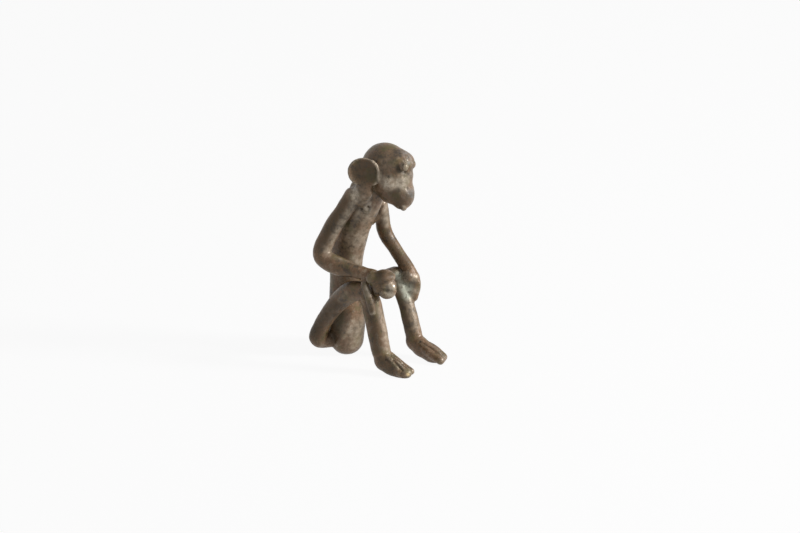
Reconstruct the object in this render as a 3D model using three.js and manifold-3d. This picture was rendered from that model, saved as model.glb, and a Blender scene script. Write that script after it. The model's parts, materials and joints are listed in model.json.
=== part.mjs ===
// A seated monkey figurine, a small solid bronze made by the lost-wax way: pieces of wax were
// rolled, bent and pressed together, and the whole was then cast as one piece of metal.
// Each mesh is one of those wax pieces. A piece is pressed onto the ones made before it, so it
// is cut back by their forms, with a thin seam left between them.
// Millimetres, +Z up. The monkey faces -Y, so its right side is -X. While the pieces are made,
// the origin is under the middle of the seat. The finished figure is then moved so that the
// origin is the middle of the area that it stands on.
import * as THREE from "three";
import { mergeVertices } from "three/addons/utils/BufferGeometryUtils.js";
import Module from "manifold-3d";

const wasm = await Module();
wasm.setup();

// The seam between pieces.
const seam = 0.3;
// How softly the egg shapes of a pressed lump run into each other.
const pressedBlend = 0.35;
// The block under the ground that cuts the seat and the soles flat.
const groundBlock = { width: 200, depth: 100 };

// Trunk: one thick roll, upright at the seat and leaning forward towards the neck. Each place
// along it has its height, how far forward it lies and its radius. A saddle of wax is pressed
// over the nape and the shoulders. More of it fills the corner below each ear, and the hollow
// between that and the breast. Each fill has its place and its half sizes, right before left.
const seat = { forward: -0.3, radius: 4.8, worn: 0.5 };
const rump = { height: 9, forward: -0.2, radius: 5.15 };
const hips = { height: 14, forward: -0.2, radius: 5.1 };
const waist = { height: 22, forward: -0.5, radius: 4.6 };
const belly = { height: 31, forward: 0, radius: 4.85 };
const chest = { height: 41, forward: 3.6, radius: 4.8 };
const shoulders = { height: 46.8, forward: 6.8, radius: 4.7 };
const neck = { height: 52, forward: 9.6, radius: 4.2 };
const saddlePlace = { height: 51, forward: 6.9 };
const saddleHalf = { width: 6.2, depth: 3.3, height: 3.0 };
const neckFills = [
  { across: -6.7, forward: 11.5, height: 51.6, half: { width: 2.0, depth: 3.1, height: 3.2 } },
  { across: 5.4, forward: 10.6, height: 50.6, half: { width: 2.3, depth: 2.8, height: 3.2 } },
  { across: -4.9, forward: 9.3, height: 49.6, half: { width: 2.5, depth: 2.5, height: 3.7 } },
  { across: 4.6, forward: 9.0, height: 48.6, half: { width: 2.3, depth: 2.4, height: 3.6 } },
];

// Head, measured from the middle of the skull: eggs for the skull, the brow, the bridge of the
// nose, the muzzle, the jaw and each cheek.
const skullPlace = { forward: 14.2, height: 57.0 };
const skullHalf = { width: 5.9, depth: 7.9, height: 7.6 };
const brow = { forward: 4.75, rise: 2.95, half: { width: 4.4, depth: 4.0, height: 3.2 } };
const bridge = { forward: 4.65, rise: -1.0, half: { width: 3.2, depth: 3.8, height: 4.0 } };
const muzzle = { forward: 5.6, rise: -6.2, half: { width: 3.6, depth: 3.5, height: 4.5 } };
const jaw = { forward: 2.4, rise: -6.0, half: { width: 4.0, depth: 4.4, height: 3.6 } };
const cheek = { side: 3.0, forward: 3.2, rise: -2.4, half: { width: 2.6, depth: 3.0, height: 2.8 } };

// Ears: dished discs that stand out from the sides of the head, turned a little forward. The
// root is a thick stub between a disc and the head.
const earRadius = 4.35;
const earThickness = 1.6;
const earDish = 1.2;
const earTurn = 32;
const earPlace = { side: 7.9, forward: -1.9, rise: 0.7 };
const leftEarDrop = 1.1;
const earRoot = { pressedIn: 0.3, half: { width: 2.2, depth: 2.6, height: 2.9 } };

// Pellets: two eyes, a lower lip and two nipples. The eyes lie by degrees outward and upward
// from straight ahead, and a share of their radius is pressed in.
const eyeRadius = 1.25;
const eyeOutward = 15.5;
const eyeUpward = 21;
const eyeSunk = 0.5;
const lipRadius = 1.0;
const lipForward = 0.1;
const lipSunk = 0.3;
const nippleRadius = 1.45;
const nipplePlace = { side: 4.6, forward: 10.4, height: 45.7 };

// Legs. Each thigh comes out from under the rump at the haunch, turns up and goes to the knee.
const legSide = 8.7;
const rightKneePlace = { forward: 13.3, height: 23.0 };
const leftKneePlace = { forward: 10.4, height: 22.9 };
const haunch = { side: 3.4, back: 3.4, height: 4.5, radius: 2.6 };
const thighEnd = { side: 6.7, back: 5.2, height: 5.2, radius: 2.75 };
const thighLow = { side: 7.1, back: 3.5, height: 9.4, radius: 2.4 };
const rightThighMiddle = { side: 7.5, back: 0.7, height: 13.4, radius: 2.4 };
const leftThighMiddle = { side: 7.5, back: 0.6, height: 14.4, radius: 2.4 };
const rightThighHigh = { side: 8.2, back: -4.0, height: 18.4, radius: 2.75 };
const rightThighTop = { side: 8.5, back: -8.6, height: 22.0, radius: 2.95 };
const leftThighHigh = { side: 8.2, back: -4.6, height: 20.0, radius: 2.5 };
const rightKneeRadius = 2.8;
const leftKneeRadius = 2.6;

// Each shin starts in the knee, bends down below it and then runs almost straight to the ankle.
const ankleForward = 19.2;
const leftAnkleSetBack = 1.5;
const ankleHeight = 6.0;
const rightShinTop = { forward: 0.9, drop: 0.4, radius: 2.8 };
const leftShinTop = { forward: 0.4, drop: 0.2, radius: 2.5 };
const rightShinBend = { forward: 2.2, drop: 2.6, radius: 2.85 };
const leftShinBend = { forward: 1.6, drop: 2.3, radius: 2.45 };
const rightShinLow = { bow: 0.15, radius: 2.7 };
const leftShinLow = { bow: 0.5, radius: 2.35 };

// Feet: a wedge from the heel over the instep to the ball, with toes side by side. Both heels
// are lifted and rounded, the left one more. The right foot points a little inward, and the left
// one ends more bluntly.
const rightSole = [
  { forward: 0.4, height: 4.4, half: { width: 2.5, depth: 2.5, height: 3.5 } },
  { forward: 2.3, height: 3.2, half: { width: 2.4, depth: 2.6, height: 2.9 } },
  { forward: 4.0, height: 2.4, half: { width: 2.3, depth: 3.4, height: 2.7 } },
  { forward: 6.6, height: 1.3, half: { width: 2.1, depth: 3.2, height: 1.9 } },
];
const leftSole = [
  { forward: -0.2, height: 5.2, half: { width: 2.4, depth: 2.4, height: 3.2 } },
  { forward: 1.9, height: 3.7, half: { width: 2.3, depth: 2.6, height: 2.8 } },
  { forward: 3.6, height: 2.9, half: { width: 2.3, depth: 3.2, height: 2.5 } },
  { forward: 6.6, height: 1.9, half: { width: 2.3, depth: 3.4, height: 2.4 } },
];
const toeCount = 4;
const toeStep = 1.08;
const toeStagger = 0.5;
const toeRoot = { forward: 2.4, height: 4.6 };
const toeArch = { forward: 6.2, height: 2.9 };
const rightToes = { radius: 0.95, reach: 9.3, tipHeight: 1.35, turnIn: 0.14 };
const leftToes = { radius: 1.15, reach: 11.9, tipHeight: 1.9, turnIn: 0 };

// Arms. Each is one roll from the shoulder to the wrist, bent at the elbow. The wrists lie on
// the knees.
const rightShoulderPlace = { side: 6.0, forward: 6.9, height: 49.2 };
const leftShoulderPlace = { side: 5.4, forward: 6.9, height: 47.2 };
const rightElbowPlace = { side: 11.0, forward: -0.4, height: 31.6 };
const leftElbowPlace = { side: 9.3, forward: 6.4, height: 34.6 };
const rightArmRadius = 2.6;
const rightForearmRadius = 2.2;
const rightWristRadius = 1.95;
const leftArmRadius = 2.3;
const leftForearmRadius = 2.05;
// Where the rolls stray from a straight line between their ends.
const rightUpperBow = { side: 0.6, back: 0.9 };
const rightForearmSag = { near: 1.05, far: 0.3 };
const leftUpperBow = { side: 0.3, back: 0.4 };
const leftForearmBow = { side: 0.2, sag: 0.3 };
// Wax smoothed over the right shoulder, and a web of it in the left armpit.
const shoulderFill = { inward: 1.4, forward: 1.5, rise: 1.0, half: { width: 2.6, depth: 2.4, height: 3.0 } };
const armpitWeb = { inward: 0.5, back: 1.3, drop: 5.8, half: { width: 1.4, depth: 1.5, height: 3.1 } };
// The right wrist lies on top of its knee and the roll runs on over it. The left wrist hangs
// past the front of its knee, on the outer side.
const rightWristInward = 0.2;
const rightWristEnd = { inward: 0.3, forward: 2.7, drop: 0.1 };
const leftWristPlace = { inward: 0.6, forward: 0.5, rise: 2.5 };
const leftWristEnd = { forward: 1.5, drop: 2.0 };

// Hands. The right one is a fist in front of its knee, turned inward, with its back lying over
// curled fingers and its thumb down the outer side of the shin. The left one hangs over its
// knee with two fingers down the front of the shin.
const fistPlace = { inward: 0.8, forward: 6.3, drop: 1.45 };
const fistTurn = 38;
const fistBack = { forward: 0, rise: 1.7, half: { width: 2.9, depth: 3.1, height: 2.0 } };
const fistHeel = { forward: -1.5, rise: -1.0, half: { width: 2.4, depth: 1.7, height: 3.0 } };
const fistWrist = { forward: -3.4, rise: 1.3, half: { width: 1.9, depth: 1.9, height: 1.9 } };
const fistCore = { forward: 0.6, rise: -1.6, half: { width: 2.7, depth: 1.6, height: 1.6 } };
const curl = { forward: 0.7, rise: -1.7, radius: 1.6, from: 130, to: -150, step: 35 };
const curledFingers = 3;
const fingerRadius = 1.1;
const fingerTipRadius = 1.0;
const fingerStep = 1.6;
const thumbRoot = { outward: 1.3, forward: 0.9, drop: -3.0 };
const thumbMiddle = { outward: 2.6, forward: 3.5, drop: 0.5 };
const thumbTip = { outward: 2.5, forward: 4.7, drop: 4.7 };
const palmHalf = { width: 1.9, depth: 2.0, height: 2.3 };
const palmPlace = { outward: 0.2, forward: 1.9, drop: 3.0 };
const palmOverKnee = { inward: 1.8, back: 0.7, rise: 1.0, half: { width: 1.7, depth: 1.7, height: 1.9 } };
const outerFinger = [
  { outward: 0.3, forward: 1.3, drop: 0.8 },
  { outward: 0.2, forward: 1.3, drop: 3.0 },
  { outward: -0.3, forward: 0.9, drop: 5.5 },
];
const innerFinger = [
  { outward: -0.4, forward: -0.3, drop: 0.8 },
  { outward: -0.5, forward: 0, drop: 3.0 },
  { outward: -0.9, forward: 0.3, drop: 5.2 },
];

// How finely the forms are cut into flat faces.
const trunkSides = 20;
const limbSides = 14;
const fingerSides = 8;
const capSteps = 3;
const headDetail = 7;
const lumpDetail = 4;
const pelletDetail = 2;

const bronze = new THREE.MeshStandardMaterial({ color: 0x5c4c3c, roughness: 0.5, metalness: 0.85 });

const point = (x, y, z) => new THREE.Vector3(x, y, z);
const degrees = THREE.MathUtils.degToRad;

// A closed solid from any closed geometry.
function solid(geometry) {
  const bare = geometry.clone();
  bare.deleteAttribute("normal");
  bare.deleteAttribute("uv");
  const merged = mergeVertices(bare, 1e-4);
  const vertProperties = new Float32Array(merged.attributes.position.array);
  const triVerts = new Uint32Array(merged.index.array);
  return new wasm.Manifold(new wasm.Mesh({ numProp: 3, vertProperties, triVerts }));
}

function geometryOf(form) {
  const { vertProperties, triVerts } = form.getMesh();
  const geometry = new THREE.BufferGeometry();
  geometry.setAttribute("position", new THREE.BufferAttribute(new Float32Array(vertProperties), 3));
  geometry.setIndex(new THREE.BufferAttribute(new Uint32Array(triVerts), 1));
  geometry.computeVertexNormals();
  return geometry;
}

// The same form, larger by a margin all over.
function grown(form, margin) {
  const geometry = geometryOf(form);
  const { position, normal } = geometry.attributes;
  for (let i = 0; i < position.count; i++) {
    const out = new THREE.Vector3().fromBufferAttribute(normal, i);
    const at = new THREE.Vector3().fromBufferAttribute(position, i).addScaledVector(out, margin);
    position.setXYZ(i, at.x, at.y, at.z);
  }
  return solid(geometry);
}

// A roll of wax: a round bar through the places, with its own radius at each of them and a
// rounded end at both.
function roll(places, radii, steps, sides) {
  const line = new THREE.CatmullRomCurve3(places, false, "centripetal");
  const span = radii.length - 1;
  const radiusPoints = radii.map((radius, i) => new THREE.Vector2(i / span, radius));
  const thickness = new THREE.SplineCurve(radiusPoints);
  const stations = [];
  const addStation = (along, radius, beyond) => {
    const ahead = line.getTangent(along);
    const side = point(1, 0, 0).addScaledVector(ahead, -ahead.x).normalize();
    const lift = new THREE.Vector3().crossVectors(side, ahead);
    stations.push({ centre: line.getPoint(along).addScaledVector(ahead, beyond), side, lift, radius });
  };
  for (let k = 0; k < capSteps; k++) {
    const turn = (k / capSteps) * (Math.PI / 2);
    addStation(0, radii[0] * Math.sin(turn), -radii[0] * Math.cos(turn));
  }
  for (let k = 0; k <= steps; k++) {
    addStation(k / steps, thickness.getPoint(k / steps).y, 0);
  }
  for (let k = capSteps - 1; k >= 0; k--) {
    const turn = (k / capSteps) * (Math.PI / 2);
    addStation(1, radii[span] * Math.sin(turn), radii[span] * Math.cos(turn));
  }
  // The lathe puts one station on each millimetre of its axis, and its points are then moved
  // to where the stations lie along the line.
  const profile = stations.map(({ radius }, i) => new THREE.Vector2(radius, i));
  const bar = new THREE.LatheGeometry(profile, sides);
  const { position } = bar.attributes;
  for (let i = 0; i < position.count; i++) {
    const { centre, side, lift } = stations[Math.round(position.getY(i))];
    const at = centre.clone().addScaledVector(side, position.getX(i));
    at.addScaledVector(lift, position.getZ(i));
    position.setXYZ(i, at.x, at.y, at.z);
  }
  return solid(bar);
}

// A pressed lump of several eggs that flow into each other. Its surface is found along rays
// from a place inside it.
const egg = (centre, half) => ({ centre, half });
function lump(core, eggs, detail) {
  const distance = (p) => {
    let sum = 0;
    for (const { centre, half } of eggs) {
      const scaled = p.clone().sub(centre).divide(point(half.width, half.depth, half.height));
      const slope = scaled.clone().divide(point(half.width, half.depth, half.height)).length();
      const reach = scaled.length();
      sum += Math.exp((-reach * (reach - 1)) / Math.max(slope, 1e-6) / pressedBlend);
    }
    return -pressedBlend * Math.log(sum);
  };
  const surfaceFrom = (start, out) => {
    let inside = 0;
    let outside = 30;
    while (outside - inside > 1e-4) {
      const middle = (inside + outside) / 2;
      if (distance(start.clone().addScaledVector(out, middle)) < 0) inside = middle;
      else outside = middle;
    }
    return start.clone().addScaledVector(out, inside);
  };
  const skin = new THREE.IcosahedronGeometry(1, detail);
  const { position } = skin.attributes;
  for (let i = 0; i < position.count; i++) {
    const at = surfaceFrom(core, new THREE.Vector3().fromBufferAttribute(position, i).normalize());
    position.setXYZ(i, at.x, at.y, at.z);
  }
  return { form: solid(skin), surfaceFrom };
}

function pellet(centre, radius) {
  return solid(new THREE.IcosahedronGeometry(radius, pelletDetail).translate(centre.x, centre.y, centre.z));
}

// Trunk
function trunk() {
  const levels = [rump, hips, waist, belly, chest, shoulders, neck];
  const places = [point(0, -seat.forward, seat.radius - seat.worn)];
  for (const { forward, height } of levels) places.push(point(0, -forward, height));
  const radii = [seat.radius, ...levels.map(({ radius }) => radius)];
  const saddle = point(0, -saddlePlace.forward, saddlePlace.height);
  let form = roll(places, radii, 18, trunkSides);
  form = form.add(lump(saddle, [egg(saddle, saddleHalf)], lumpDetail).form);
  for (const { across, forward, height, half } of neckFills) {
    const fill = point(across, -forward, height);
    form = form.add(lump(fill, [egg(fill, half)], pelletDetail).form);
  }
  return form;
}

// Head
const skull = point(0, -skullPlace.forward, skullPlace.height);
const onMiddle = ({ forward, rise }) => skull.clone().add(point(0, -forward, rise));

function headLump() {
  const eggs = [egg(skull, skullHalf)];
  for (const bulge of [brow, bridge, muzzle, jaw]) eggs.push(egg(onMiddle(bulge), bulge.half));
  for (const side of [-1, 1]) {
    eggs.push(egg(onMiddle(cheek).add(point(side * cheek.side, 0, 0)), cheek.half));
  }
  return lump(skull.clone().lerp(onMiddle(muzzle), 0.4), eggs, headDetail);
}
const head = headLump();

function ear(side) {
  const inner = earThickness / 2;
  const profile = [
    new THREE.Vector2(0, -inner),
    new THREE.Vector2(earRadius * 0.6, -inner),
    new THREE.Vector2(earRadius * 0.92, -inner * 0.5),
    new THREE.Vector2(earRadius, inner * 0.4),
    new THREE.Vector2(earRadius * 0.92, inner),
    new THREE.Vector2(earRadius * 0.78, inner * 0.8),
    new THREE.Vector2(earRadius * 0.45, inner - earDish * 0.85),
    new THREE.Vector2(0, inner - earDish),
  ];
  // The hollow looks along +Y at first, and is turned to look outward and a little forward.
  const dish = new THREE.LatheGeometry(profile, 24);
  dish.rotateZ(-side * (Math.PI / 2 + degrees(earTurn)));
  const rise = side < 0 ? earPlace.rise : earPlace.rise - leftEarDrop;
  const centre = skull.clone().add(point(side * earPlace.side, -earPlace.forward, rise));
  dish.translate(centre.x, centre.y, centre.z);
  const hollowSide = point(side * Math.cos(degrees(earTurn)), -Math.sin(degrees(earTurn)), 0);
  const rootBehind = inner + earRoot.half.width - earRoot.pressedIn;
  const rootCentre = centre.clone().addScaledVector(hollowSide, -rootBehind);
  return solid(dish).add(lump(rootCentre, [egg(rootCentre, earRoot.half)], pelletDetail).form);
}

function eye(side) {
  const turn = degrees(eyeOutward);
  const climb = degrees(eyeUpward);
  const flat = Math.cos(climb);
  const out = point(side * Math.sin(turn) * flat, -Math.cos(turn) * flat, Math.sin(climb));
  return pellet(head.surfaceFrom(skull, out).addScaledVector(out, -eyeRadius * eyeSunk), eyeRadius);
}

function lip() {
  const out = point(0, -lipForward, -1).normalize();
  const onChin = head.surfaceFrom(onMiddle(muzzle), out);
  return pellet(onChin.addScaledVector(out, -lipRadius * lipSunk), lipRadius);
}

function nipple(side) {
  return pellet(point(side * nipplePlace.side, -nipplePlace.forward, nipplePlace.height), nippleRadius);
}

// Legs
const rightKnee = point(-legSide, -rightKneePlace.forward, rightKneePlace.height);
const leftKnee = point(legSide, -leftKneePlace.forward, leftKneePlace.height);
const rightAnkle = point(-legSide, -ankleForward, ankleHeight);
const leftAnkle = point(legSide, -ankleForward + leftAnkleSetBack, ankleHeight);

function thigh(side, upper, knee, kneeRadius) {
  const stations = [thighEnd, thighLow, ...upper];
  const places = stations.map(({ side: out, back, height }) => point(side * out, back, height));
  const radii = stations.map(({ radius }) => radius);
  const hip = point(side * haunch.side, haunch.back, haunch.height);
  const base = roll([hip, places[0]], [haunch.radius, thighEnd.radius], 2, limbSides);
  return roll([...places, knee], [...radii, kneeRadius], 12, limbSides).add(base);
}

function shin(knee, ankle, top, bend, low) {
  const start = knee.clone().add(point(0, -top.forward, -top.drop));
  const below = knee.clone().add(point(0, -bend.forward, -bend.drop));
  const middle = below.clone().lerp(ankle, 0.4).add(point(0, -low.bow, 0));
  return roll([start, below, middle, ankle], [top.radius, bend.radius, low.radius, low.radius], 9, limbSides);
}

function foot(side, ankle, sole, { radius, reach, tipHeight, turnIn }) {
  const place = (across, forward, height) =>
    point(ankle.x + across - side * turnIn * forward, ankle.y - forward, height);
  const eggs = sole.map(({ forward, height, half }) => egg(place(0, forward, height), half));
  let form = lump(eggs[2].centre, eggs, lumpDetail).form;
  for (let k = 0; k < toeCount; k++) {
    const across = (k - (toeCount - 1) / 2) * toeStep;
    // The inner toe reaches furthest, and each one outside it a little less.
    const fromInner = side < 0 ? toeCount - 1 - k : k;
    const root = place(across * 0.6, toeRoot.forward, toeRoot.height);
    const arch = place(across * 0.9, toeArch.forward, toeArch.height);
    const tip = place(across, reach - fromInner * toeStagger - radius, tipHeight);
    form = form.add(roll([root, arch, tip], [radius, radius, radius], 4, fingerSides));
  }
  return form;
}

// Arms
const rightWristRise = rightKneeRadius + rightWristRadius + seam;
const rightWrist = rightKnee.clone().add(point(rightWristInward, 0, rightWristRise));
const rightShoulder = point(-rightShoulderPlace.side, -rightShoulderPlace.forward, rightShoulderPlace.height);
const leftShoulder = point(leftShoulderPlace.side, -leftShoulderPlace.forward, leftShoulderPlace.height);
const leftWristSide = leftKneeRadius - leftWristPlace.inward;
const leftWristForward = leftKneeRadius + leftWristPlace.forward;
const leftWrist = leftKnee.clone().add(point(leftWristSide, -leftWristForward, leftWristPlace.rise));

function rightArm() {
  const elbow = point(-rightElbowPlace.side, -rightElbowPlace.forward, rightElbowPlace.height);
  const upper = rightShoulder.clone().lerp(elbow, 0.5).add(point(-rightUpperBow.side, rightUpperBow.back, 0));
  const lower = elbow.clone().lerp(rightWrist, 0.4).add(point(0, 0, -rightForearmSag.near));
  const further = elbow.clone().lerp(rightWrist, 0.7).add(point(0, 0, -rightForearmSag.far));
  const end = rightWrist.clone();
  end.add(point(rightWristEnd.inward, -rightWristEnd.forward, -rightWristEnd.drop));
  const thick = [rightShoulder, upper, elbow, lower];
  const radii = [...thick.map(() => rightArmRadius), rightForearmRadius, rightWristRadius, rightWristRadius];
  const arm = roll([...thick, further, rightWrist, end], radii, 22, limbSides);
  const fill = rightShoulder.clone();
  fill.add(point(shoulderFill.inward, -shoulderFill.forward, shoulderFill.rise));
  return arm.add(lump(fill, [egg(fill, shoulderFill.half)], pelletDetail).form);
}

function leftArm() {
  const elbow = point(leftElbowPlace.side, -leftElbowPlace.forward, leftElbowPlace.height);
  const upper = leftShoulder.clone().lerp(elbow, 0.5).add(point(leftUpperBow.side, leftUpperBow.back, 0));
  const lower = elbow.clone().lerp(leftWrist, 0.5).add(point(leftForearmBow.side, 0, -leftForearmBow.sag));
  const end = leftWrist.clone().add(point(0, -leftWristEnd.forward, -leftWristEnd.drop));
  const below = [upper, elbow, lower, leftWrist, end];
  const radii = [leftArmRadius, ...below.map(() => leftForearmRadius)];
  const arm = roll([leftShoulder, ...below], radii, 18, limbSides);
  const web = leftShoulder.clone().add(point(-armpitWeb.inward, armpitWeb.back, -armpitWeb.drop));
  return arm.add(lump(web, [egg(web, armpitWeb.half)], pelletDetail).form);
}

// Hands. A place in the fist is across (outward), forward and up in its own turned frame.
const fist = rightWrist.clone().add(point(fistPlace.inward, -fistPlace.forward, -fistPlace.drop));
const fistOutward = point(-Math.cos(degrees(fistTurn)), -Math.sin(degrees(fistTurn)), 0);
const fistForward = point(Math.sin(degrees(fistTurn)), -Math.cos(degrees(fistTurn)), 0);
function inFist(across, forward, rise) {
  const level = fist.clone().addScaledVector(fistOutward, across).addScaledVector(fistForward, forward);
  return level.add(point(0, 0, rise));
}

function rightHand() {
  const bulges = [fistBack, fistHeel, fistWrist, fistCore];
  const eggs = bulges.map(({ forward, rise, half }) => egg(inFist(0, forward, rise), half));
  return lump(eggs[0].centre.clone().lerp(eggs[1].centre, 0.5), eggs, lumpDetail).form;
}

// A curled finger goes round most of a circle, forward from the knuckle, down and back under.
function curledFinger(index) {
  const across = ((curledFingers - 1) / 2 - index) * fingerStep;
  const places = [];
  for (let turn = curl.from; turn >= curl.to; turn -= curl.step) {
    const forward = curl.forward + curl.radius * Math.cos(degrees(turn));
    places.push(inFist(across, forward, curl.rise + curl.radius * Math.sin(degrees(turn))));
  }
  return roll(places, places.map(() => fingerRadius), 10, fingerSides);
}

// A finger that lies down a shin, from its places around the knee or the palm.
function fingerDown(from, side, stations) {
  const places = [];
  for (const { outward, forward, drop } of stations) {
    places.push(point(side * outward, -forward, -drop).add(from));
  }
  return roll(places, [fingerRadius, fingerRadius, fingerTipRadius], 7, fingerSides);
}

const palm = leftWrist.clone().add(point(palmPlace.outward, -palmPlace.forward, -palmPlace.drop));
function leftHand() {
  const overKnee = palm.clone().add(point(-palmOverKnee.inward, palmOverKnee.back, palmOverKnee.rise));
  return lump(palm, [egg(palm, palmHalf), egg(overKnee, palmOverKnee.half)], lumpDetail).form;
}

// The pieces, in the order in which they are pressed together.
const pieces = [
  ["torso", trunk()],
  ["head", head.form],
  ["right_thigh", thigh(-1, [rightThighMiddle, rightThighHigh, rightThighTop], rightKnee, rightKneeRadius)],
  ["left_thigh", thigh(1, [leftThighMiddle, leftThighHigh], leftKnee, leftKneeRadius)],
  ["right_shin", shin(rightKnee, rightAnkle, rightShinTop, rightShinBend, rightShinLow)],
  ["left_shin", shin(leftKnee, leftAnkle, leftShinTop, leftShinBend, leftShinLow)],
  ["right_foot", foot(-1, rightAnkle, rightSole, rightToes)],
  ["left_foot", foot(1, leftAnkle, leftSole, leftToes)],
  ["right_arm", rightArm()],
  ["left_arm", leftArm()],
  ["right_hand", rightHand()],
  ["left_hand", leftHand()],
  ["right_thumb", fingerDown(rightKnee, -1, [thumbRoot, thumbMiddle, thumbTip])],
  ["left_finger_1", fingerDown(palm, 1, outerFinger)],
  ["left_finger_2", fingerDown(palm, 1, innerFinger)],
];
for (let k = 0; k < curledFingers; k++) pieces.push([`right_finger_${k + 1}`, curledFinger(k)]);
for (const [name, side] of [["right", -1], ["left", 1]]) {
  pieces.push([`${name}_ear`, ear(side)], [`${name}_eye`, eye(side)], [`${name}_nipple`, nipple(side)]);
}
pieces.push(["lower_lip", lip()]);

// Each piece keeps what its earlier neighbours leave of it, above the ground.
const block = new THREE.BoxGeometry(groundBlock.width, groundBlock.width, groundBlock.depth);
const ground = solid(block.translate(0, 0, -groundBlock.depth / 2));
const largest = (form) => form.decompose().sort((a, b) => b.volume() - a.volume())[0];
const figure = new THREE.Group();
const pressed = [];
for (const [name, form] of pieces) {
  let seated = form.subtract(ground);
  for (const earlier of pressed) seated = seated.subtract(earlier);
  const mesh = new THREE.Mesh(geometryOf(largest(seated)), bronze.clone());
  mesh.name = name;
  figure.add(mesh);
  pressed.push(grown(form, seam));
}

const { min, max } = new THREE.Box3().setFromObject(figure);
figure.position.set(-(min.x + max.x) / 2, -(min.y + max.y) / 2, 0);

export default figure;
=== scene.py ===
# A seated monkey, cast in bronze by the lost-wax way and left with a dark brown patina.
# The wax was rolled and pressed by hand, so no roll is quite round or straight.
import json
import math
import bpy
import bmesh
import numpy as np
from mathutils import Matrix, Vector, noise
from mathutils.bvhtree import BVHTree
from mathutils.kdtree import KDTree


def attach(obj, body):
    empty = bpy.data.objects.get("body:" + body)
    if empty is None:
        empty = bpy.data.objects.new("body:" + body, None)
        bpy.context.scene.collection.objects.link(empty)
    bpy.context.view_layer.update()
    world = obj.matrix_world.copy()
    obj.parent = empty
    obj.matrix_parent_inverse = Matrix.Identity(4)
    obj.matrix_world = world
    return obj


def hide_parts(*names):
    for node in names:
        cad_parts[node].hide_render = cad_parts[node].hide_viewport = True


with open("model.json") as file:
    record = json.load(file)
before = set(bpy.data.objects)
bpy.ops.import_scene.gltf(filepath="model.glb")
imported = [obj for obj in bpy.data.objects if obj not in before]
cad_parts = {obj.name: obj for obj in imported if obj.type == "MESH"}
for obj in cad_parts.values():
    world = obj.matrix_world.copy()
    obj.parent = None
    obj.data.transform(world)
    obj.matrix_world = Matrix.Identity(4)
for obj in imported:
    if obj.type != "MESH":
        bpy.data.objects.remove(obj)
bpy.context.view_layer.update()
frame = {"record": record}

# All forms are given in millimetres from under the middle of the seat, where the seat mount is.
# The monkey faces -Y and its right side is -X.
seatMount = np.array(frame["record"]["mounts"][0]["pos_m"])
millimetre = 0.001


def toFrame(points):
    return np.asarray(points) * millimetre + seatMount


# Wax rolls: each station is x, y, z and the radius there.

def smoothThrough(stations, steps):
    # a centripetal curve through the stations, which carries the radius along
    points = np.array(stations, float)
    padded = np.vstack([2 * points[0] - points[1], points, 2 * points[-1] - points[-2]])
    result = []
    for k in range(steps + 1):
        place = k / steps * (len(points) - 1)
        segment = min(int(place), len(points) - 2)
        t = place - segment
        p0, p1, p2, p3 = padded[segment:segment + 4]
        gaps = [max(np.linalg.norm((b - a)[:3]) ** 0.5, 1e-6) for a, b in ((p0, p1), (p1, p2), (p2, p3))]
        start = (p1 - p0) / gaps[0] - (p2 - p0) / (gaps[0] + gaps[1]) + (p2 - p1) / gaps[1]
        end = (p2 - p1) / gaps[1] - (p3 - p1) / (gaps[1] + gaps[2]) + (p3 - p2) / gaps[2]
        start, end = start * gaps[1], end * gaps[1]
        result.append(p1 + start * t + (3 * (p2 - p1) - 2 * start - end) * t ** 2
                      + (2 * (p1 - p2) + start + end) * t ** 3)
    return np.array(result)


def waxRoll(stations, steps=48, sides=32):
    line = smoothThrough(stations, steps)
    ahead = np.gradient(line[:, :3], axis=0)
    ahead /= np.linalg.norm(ahead, axis=1)[:, None]
    rings = []
    capSteps = 8
    for k in range(capSteps):
        turn = k / capSteps * math.pi / 2
        rings.append((0, line[0, 3] * math.sin(turn), -line[0, 3] * math.cos(turn)))
    rings += [(k, line[k, 3], 0.0) for k in range(steps + 1)]
    for k in reversed(range(capSteps)):
        turn = k / capSteps * math.pi / 2
        rings.append((steps, line[-1, 3] * math.sin(turn), line[-1, 3] * math.cos(turn)))
    verts, faces = [], []
    for index, radius, beyond in rings:
        along = ahead[index]
        side = np.array([1.0, 0, 0]) - along * along[0]
        side /= np.linalg.norm(side)
        lift = np.cross(side, along)
        centre = line[index, :3] + along * beyond
        if radius < 1e-6:
            verts.append(centre)
            continue
        for s in range(sides):
            angle = 2 * math.pi * s / sides
            verts.append(centre + side * radius * math.cos(angle) + lift * radius * math.sin(angle))
    ringStart = lambda r: 1 + (r - 1) * sides
    for s in range(sides):
        t = (s + 1) % sides
        faces.append((0, ringStart(1) + s, ringStart(1) + t))
        for r in range(1, len(rings) - 2):
            a, b = ringStart(r), ringStart(r + 1)
            faces.append((a + s, b + s, b + t, a + t))
        last = ringStart(len(rings) - 2)
        faces.append((last + s, len(verts) - 1, last + t))
    return np.array(verts), faces


# Wax lumps: eggs that flow into each other. Each egg is x, y, z and its half width, depth, height.

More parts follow.
